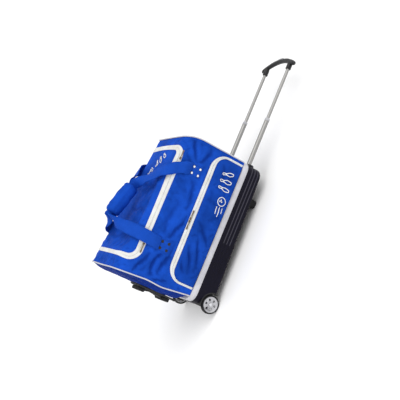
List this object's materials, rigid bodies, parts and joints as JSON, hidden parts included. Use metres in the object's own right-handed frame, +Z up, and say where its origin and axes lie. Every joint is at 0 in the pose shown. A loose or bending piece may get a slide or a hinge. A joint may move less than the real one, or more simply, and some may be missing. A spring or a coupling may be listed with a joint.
{
  "type": "bowling ball bag",
  "caption": "Roller bowling bag for two balls: hard tray, zipped fabric upper and pocket, carry loops, telescopic trolley handle and wheels.",
  "frame": {"origin": "on the floor plane, under the middle of the bounding box with the handle drawn out", "axes": "+X towards the trolley handle, +Y away from the pocket side, +Z up through the lid, with the bag lying on its tray"},
  "size_m": [1.0505, 0.2976, 0.4927],
  "materials": {
    "fabric": "woven polyester, royal blue",
    "webbing": "royal blue strap webbing",
    "white_trim": "white tape and welt",
    "tray": "moulded black plastic, fine texture",
    "black_plastic": "moulded black plastic",
    "rubber": "black rubber",
    "tyre": "black polyurethane",
    "hub": "light grey plastic",
    "aluminium": "brushed, clear anodised",
    "steel": "bright steel",
    "bronze": "dark bronze zinc",
    "foam": "charcoal moulded foam plastic"
  },
  "bodies": {
    "shell": {"axle_far": "steel", "axle_near": "steel", "bag_body": "fabric", "ball_cup_handle_side": "foam", "ball_cup_wheel_side": "foam", "base_foot_far": "rubber", "base_foot_near": "rubber", "base_tray": "tray", "guide_bracket": "black_plastic", "guide_tube_far": "aluminium", "guide_tube_near": "aluminium", "handle_bezel": "black_plastic", "lid_tape_body_side": "white_trim", "piping_handle_end": "white_trim", "piping_wheel_end": "white_trim", "pocket_tape_body_side": "white_trim", "rim_band": "white_trim", "stand_foot_lower": "rubber", "stand_foot_upper": "rubber", "stand_plate": "black_plastic", "strap_anchor_far_handle_end": "webbing", "strap_anchor_far_wheel_end": "webbing", "strap_anchor_near_handle_end": "webbing", "strap_anchor_near_wheel_end": "webbing", "wheel_housing_far": "black_plastic", "wheel_housing_near": "black_plastic"},
    "lid": {"lid_panel": "fabric", "lid_tape_lid_side": "white_trim"},
    "near_loop": {"near_strap": "webbing", "near_grip_half": "fabric"},
    "far_loop": {"far_strap": "webbing", "far_grip_half": "fabric"},
    "handle_lower": {"stage_tube_near": "aluminium", "stage_tube_far": "aluminium", "stage_collar_near": "black_plastic", "stage_collar_far": "black_plastic"},
    "handle_upper": {"upper_tube_near": "aluminium", "upper_tube_far": "aluminium", "handle_grip": "black_plastic"},
    "button": {"release_button": "hub", "push_rod_near": "steel", "push_rod_far": "steel"},
    "wheel_near": {"tyre_near": "tyre", "hub_near": "hub", "bearing_near": "steel"},
    "wheel_far": {"tyre_far": "tyre", "hub_far": "hub", "bearing_far": "steel"},
    "pocket_flap": {"pocket_panel": "fabric", "pocket_tape_flap_side": "white_trim"},
    "lid_handle_end_slider": {"lid_handle_end_slider": "bronze"},
    "lid_handle_end_puller": {"lid_handle_end_puller": "bronze"},
    "lid_wheel_end_slider": {"lid_wheel_end_slider": "bronze"},
    "lid_wheel_end_puller": {"lid_wheel_end_puller": "bronze"},
    "pocket_handle_side_slider": {"pocket_handle_side_slider": "bronze"},
    "pocket_handle_side_puller": {"pocket_handle_side_puller": "bronze"},
    "pocket_wheel_side_slider": {"pocket_wheel_side_slider": "bronze"},
    "pocket_wheel_side_puller": {"pocket_wheel_side_puller": "bronze"}
  },
  "joints": [
    {"name": "lid_hinge", "type": "hinge", "parent": "shell", "child": "lid", "pos_m": [-0.22025, 0.1143, 0.4], "axis": [-0.9949, 0, 0.101], "range_deg": [0, 60]},
    {"name": "near_loop_swing", "type": "hinge", "parent": "shell", "child": "near_loop", "pos_m": [-0.22025, -0.1372, 0.307], "axis": [1, 0, 0], "range_deg": [0, 162]},
    {"name": "far_loop_swing", "type": "hinge", "parent": "shell", "child": "far_loop", "pos_m": [-0.22025, 0.1418, 0.307], "axis": [-1, 0, 0], "range_deg": [0, 162]},
    {"name": "handle_lower_slide", "type": "slide", "parent": "shell", "child": "handle_lower", "axis": [-1, 0, 0], "range_m": [0, 0.175]},
    {"name": "handle_upper_slide", "type": "slide", "parent": "handle_lower", "child": "handle_upper", "axis": [-1, 0, 0], "range_m": [0, 0.21]},
    {"name": "button_press", "type": "slide", "parent": "handle_upper", "child": "button", "axis": [-1, 0, 0], "range_m": [0, 0.004], "stiffness_N_per_m": 300, "springref_m": -0.002},
    {"name": "wheel_near_spin", "type": "hinge", "parent": "shell", "child": "wheel_near", "pos_m": [-0.47525, -0.1217, 0.0345], "axis": [0, 1, 0], "continuous": true},
    {"name": "wheel_far_spin", "type": "hinge", "parent": "shell", "child": "wheel_far", "pos_m": [-0.47525, 0.1263, 0.0345], "axis": [0, 1, 0], "continuous": true},
    {"name": "pocket_swing", "type": "hinge", "parent": "shell", "child": "pocket_flap", "pos_m": [-0.22025, -0.1377, 0.1268], "axis": [1, 0, 0], "range_deg": [0, 50]},
    {"name": "lid_handle_end_slide", "type": "slide", "parent": "shell", "child": "lid_handle_end_slider", "axis": [1, 0, 0], "range_m": [-0.25, 0]},
    {"name": "lid_handle_end_puller_swing", "type": "hinge", "parent": "lid_handle_end_slider", "child": "lid_handle_end_puller", "pos_m": [-0.04605, -0.1353, 0.3608], "axis": [0, 0, -1], "range_deg": [0, 120]},
    {"name": "lid_wheel_end_slide", "type": "slide", "parent": "shell", "child": "lid_wheel_end_slider", "axis": [1, 0, 0], "range_m": [0, 0.05]},
    {"name": "lid_wheel_end_puller_swing", "type": "hinge", "parent": "lid_wheel_end_slider", "child": "lid_wheel_end_puller", "pos_m": [-0.38445, -0.1353, 0.3608], "axis": [0, 0, 1], "range_deg": [0, 120]},
    {"name": "pocket_handle_side_slide", "type": "slide", "parent": "shell", "child": "pocket_handle_side_slider", "axis": [1, 0, 0], "range_m": [0, 0.09]},
    {"name": "pocket_handle_side_puller_swing", "type": "hinge", "parent": "pocket_handle_side_slider", "child": "pocket_handle_side_puller", "pos_m": [-0.22205, -0.1356, 0.2365], "axis": [0, 0, -1], "range_deg": [0, 120]},
    {"name": "pocket_wheel_side_slide", "type": "slide", "parent": "shell", "child": "pocket_wheel_side_slider", "axis": [1, 0, 0], "range_m": [-0.08, 0]},
    {"name": "pocket_wheel_side_puller_swing", "type": "hinge", "parent": "pocket_wheel_side_slider", "child": "pocket_wheel_side_puller", "pos_m": [-0.24445, -0.1356, 0.2365], "axis": [0, 0, 1], "range_deg": [0, 120]}
  ],
  "couplings": [
    {"joint": "near_loop_swing", "follows": "lid_hinge", "ratio": 2.7},
    {"joint": "far_loop_swing", "follows": "lid_hinge", "ratio": 2.7}
  ]
}
